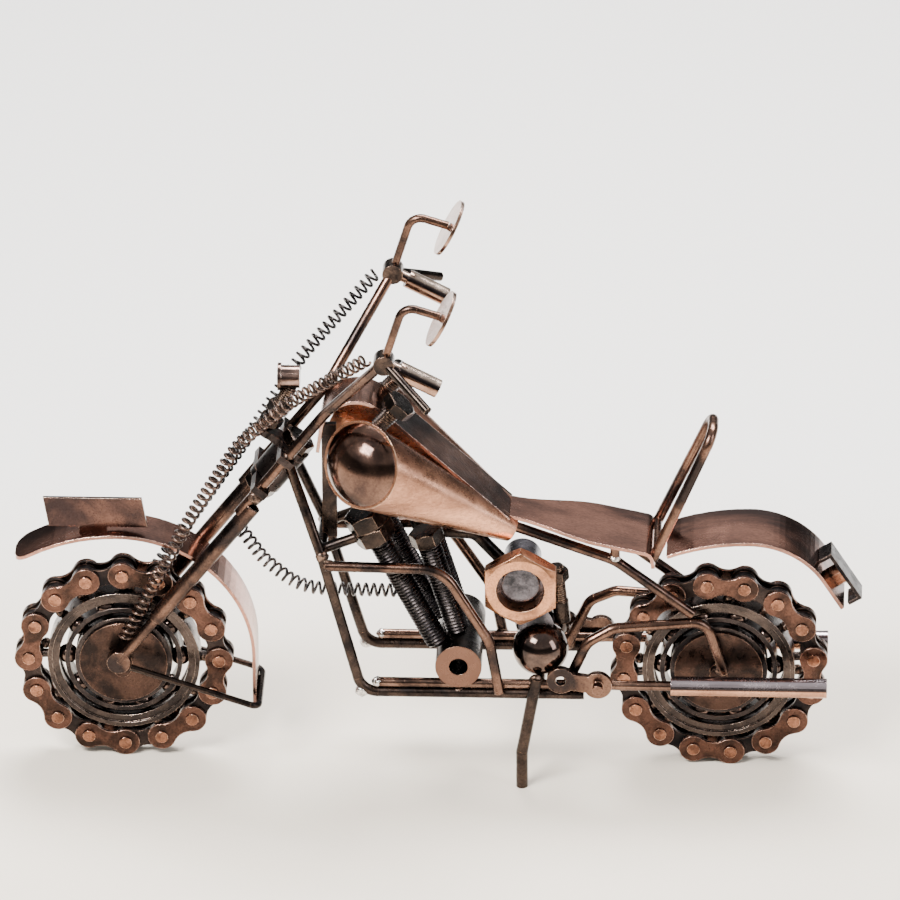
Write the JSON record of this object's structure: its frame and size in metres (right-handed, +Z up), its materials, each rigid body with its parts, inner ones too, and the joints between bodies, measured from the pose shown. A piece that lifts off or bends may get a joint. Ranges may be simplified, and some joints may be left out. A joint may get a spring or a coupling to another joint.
{
  "type": "welded hardware motorcycle model",
  "caption": "Desk-top motorcycle model welded from hardware: chain wheels on ball bearings, bent rod frame, cone tank, sprung fork, bolt engine and steering head that turns.",
  "frame": {"origin": "middle of the length and width, on the surface that the wheels and the kickstand foot stand on", "axes": "-X toward the front wheel, +X toward the tail, -Y toward the kickstand side, +Z up"},
  "size_m": [0.2888, 0.0984, 0.1953],
  "materials": {
    "dark": "dark bronze-black antique plating, satin",
    "brown": "brown copper antique plating, satin",
    "copper": "bright brushed copper plating",
    "sheet": "polished pinkish copper plating"
  },
  "bodies": {
    "frame": {"down_tubes": "dark", "engine_guards": "brown", "neck_sleeve": "dark", "cross_bars": "dark", "seat_stays": "brown", "chain_stays": "brown", "tank_cones": "copper", "tank_caps": "brown", "tank_band": "sheet", "filler_bolts": "dark", "front_cylinders": "dark", "rear_cylinders": "dark", "cylinder_nuts": "brown", "crankcase_sleeve": "brown", "gearbox_nut": "copper", "gearbox_core": "dark", "clutch_balls": "brown", "intake_pipe": "dark", "oil_bolt": "dark", "foot_links": "brown", "kickstand": "dark", "exhaust_pipes": "brown", "mufflers": "copper", "seat_panel": "sheet", "rear_fender": "sheet", "backrest": "brown", "tail_channel": "dark", "tail_nut": "copper", "rear_hub": "brown", "rear_inner_race": "dark", "cable_spring": "dark"},
    "fork": {"fork_tubes": "brown", "handlebar_rods": "brown", "fork_clamps": "dark", "steering_bolt": "dark", "headlight": "sheet", "headlight_bolt": "dark", "handlebar_knobs": "dark", "grips": "brown", "levers": "dark", "mirror_stalks": "brown", "mirrors": "copper", "fork_springs": "dark", "front_fender": "sheet", "number_plate": "dark", "fender_stay": "dark", "front_hub": "brown", "front_inner_race": "dark"},
    "front_wheel": {"front_outer_race": "dark", "front_outer_links": "brown", "front_inner_links": "dark", "front_pins": "copper"},
    "rear_wheel": {"rear_outer_race": "dark", "rear_outer_links": "brown", "rear_inner_links": "dark", "rear_pins": "copper"},
    "front_ball_set": {"front_balls": "dark", "front_cage": "dark"},
    "rear_ball_set": {"rear_balls": "dark", "rear_cage": "dark"}
  },
  "joints": [
    {"name": "steering", "type": "hinge", "parent": "frame", "child": "fork", "pos_m": [-0.05884, 0, 0.10622], "axis": [0.6074, 0, 0.7944], "range_deg": [-24, 24], "deforming": ["cable_spring"]},
    {"name": "front_wheel_spin", "type": "hinge", "parent": "fork", "child": "front_wheel", "pos_m": [-0.10772, 0, 0.03735], "axis": [0, 1, 0], "continuous": true},
    {"name": "front_ball_roll", "type": "hinge", "parent": "fork", "child": "front_ball_set", "pos_m": [-0.10772, 0, 0.03735], "axis": [0, 1, 0], "continuous": true},
    {"name": "rear_wheel_spin", "type": "hinge", "parent": "frame", "child": "rear_wheel", "pos_m": [0.09528, 0, 0.03708], "axis": [0, 1, 0], "continuous": true},
    {"name": "rear_ball_roll", "type": "hinge", "parent": "frame", "child": "rear_ball_set", "pos_m": [0.09528, 0, 0.03708], "axis": [0, 1, 0], "continuous": true}
  ],
  "couplings": [
    {"joint": "front_ball_roll", "follows": "front_wheel_spin", "ratio": 0.5883},
    {"joint": "rear_ball_roll", "follows": "rear_wheel_spin", "ratio": 0.5883}
  ]
}
